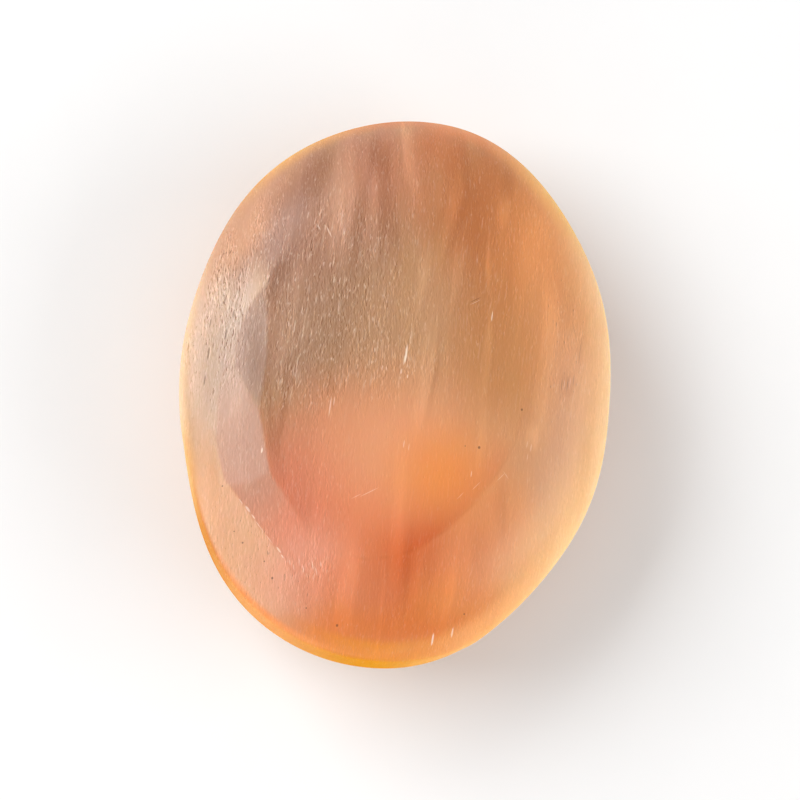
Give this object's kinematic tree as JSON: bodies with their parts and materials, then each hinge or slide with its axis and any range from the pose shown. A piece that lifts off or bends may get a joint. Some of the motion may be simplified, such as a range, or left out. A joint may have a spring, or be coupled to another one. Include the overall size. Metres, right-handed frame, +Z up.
{
  "type": "palm stone",
  "caption": "Oval pillow-shaped palm stone of polished fibrous selenite, to be held in the hand, resting on a small flat ground on its back.",
  "frame": {"origin": "middle of the footprint, at the level of the flat spot that the stone rests on", "axes": "+Z up, out of the polished face that the picture shows; +Y along the stone's length and its grain, towards the end that is at the top of the picture; +X towards the picture's right"},
  "size_m": [0.0514, 0.0658, 0.0224],
  "materials": {
    "selenite": "translucent peach-orange fibrous gypsum, hand polished to a soft satin gloss, with silky grain along its length, fine open pits and faint wheel facets"
  },
  "bodies": {
    "root": {"palm_stone": "selenite"}
  },
  "joints": []
}
